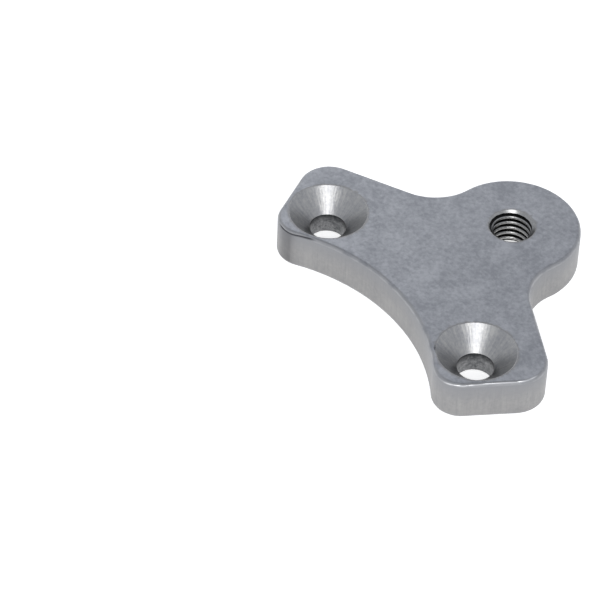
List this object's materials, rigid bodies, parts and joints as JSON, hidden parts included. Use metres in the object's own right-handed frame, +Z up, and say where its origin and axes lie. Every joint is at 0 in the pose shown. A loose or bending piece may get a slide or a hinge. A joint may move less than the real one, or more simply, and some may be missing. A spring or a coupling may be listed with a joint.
{
  "type": "mounting block",
  "caption": "Flat milled block with a tapped hole in a round boss and a countersunk screw hole in each of its arms, spread around a concave edge.",
  "frame": {"origin": "middle of the outline, on the plain face that the block lies on", "axes": "+Z up through the countersunk face, +Y towards the boss with the tapped hole, +X along the line of the two screw holes"},
  "size_m": [0.0652, 0.0466, 0.008],
  "materials": {
    "block": "bare aluminium, tumbled dull on its faces and bright where the holes are cut"
  },
  "bodies": {
    "root": {"mounting_block": "block"}
  },
  "joints": []
}
